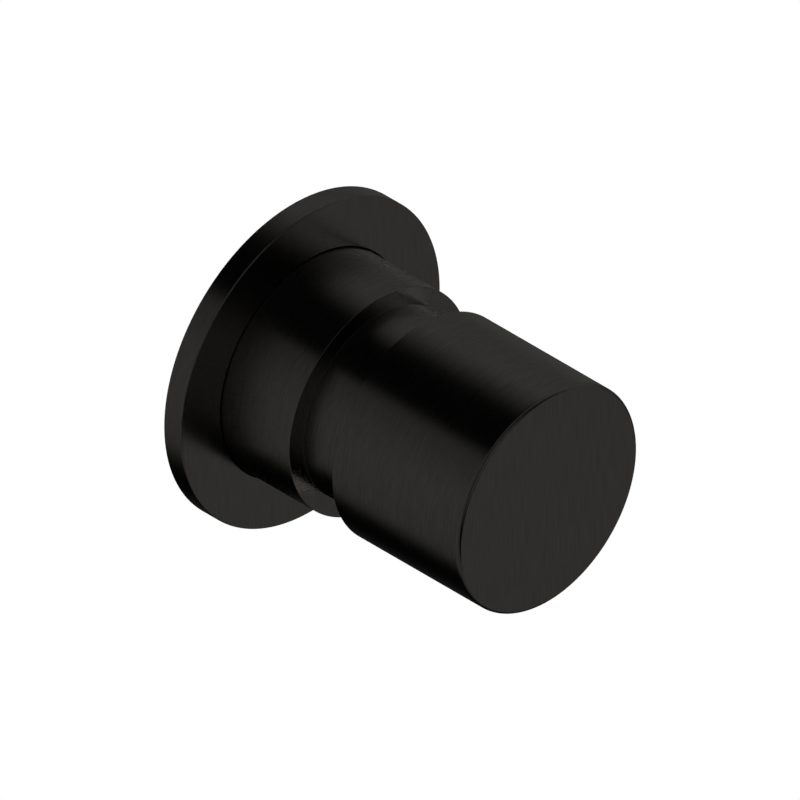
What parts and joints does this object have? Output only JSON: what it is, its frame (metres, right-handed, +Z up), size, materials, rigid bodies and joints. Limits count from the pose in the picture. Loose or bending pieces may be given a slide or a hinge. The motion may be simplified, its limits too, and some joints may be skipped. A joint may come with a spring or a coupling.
{
  "type": "concealed shower mixer",
  "caption": "Concealed shower mixer: round brushed-black wall trim with one turning knob, over an in-wall brass valve with a ceramic disc cartridge.",
  "frame": {"origin": "centre of the wall flange's back face, on the finished wall", "axes": "+Z up, -Y out of the wall towards the user, +X to the right for someone facing the wall; the knob's axis is the Y axis"},
  "size_m": [0.068, 0.1263, 0.104],
  "materials": {
    "brushed_black": "fine brushed black coating over turned metal",
    "cast_brass": "sand-cast, tumbled, dull",
    "turned_brass": "turned, satin",
    "zinc_steel": "zinc-plated sheet",
    "screw_steel": "plain stainless",
    "grey_plastic": "moulded, matt",
    "white_plastic": "moulded, low friction",
    "red_plastic": "moulded, matt",
    "ceramic_white": "lapped",
    "black_rubber": "moulded, soft",
    "plug_fibre": "pressed fibre washer"
  },
  "bodies": {
    "valve": {"escutcheon": "brushed_black", "trim_sleeve": "brushed_black", "wall_gasket": "black_rubber", "escutcheon_o_ring": "black_rubber", "sleeve_o_ring": "black_rubber", "glide_ring": "white_plastic", "hot_limit_ring": "red_plastic", "cartridge_housing": "grey_plastic", "thrust_washer": "white_plastic", "fixed_disc": "ceramic_white", "disc_seals": "black_rubber", "cartridge_base": "grey_plastic", "base_port_seals": "black_rubber", "retaining_nut": "turned_brass", "valve_body": "cast_brass", "outlet_plug": "turned_brass", "plug_washer": "plug_fibre", "mounting_bracket": "zinc_steel", "bracket_screws": "screw_steel"},
    "handle": {"knob": "brushed_black", "knob_insert": "grey_plastic", "knob_grub_screw": "screw_steel", "spindle_extension": "turned_brass", "extension_screw": "screw_steel", "spindle": "turned_brass", "spindle_o_rings": "black_rubber", "stop_arm": "white_plastic", "disc_carrier": "white_plastic", "moving_disc": "ceramic_white"}
  },
  "joints": [
    {"name": "knob_turn", "type": "hinge", "parent": "valve", "child": "handle", "pos_m": [0, 0, 0], "axis": [0, -1, 0], "range_deg": [0, 110]}
  ]
}
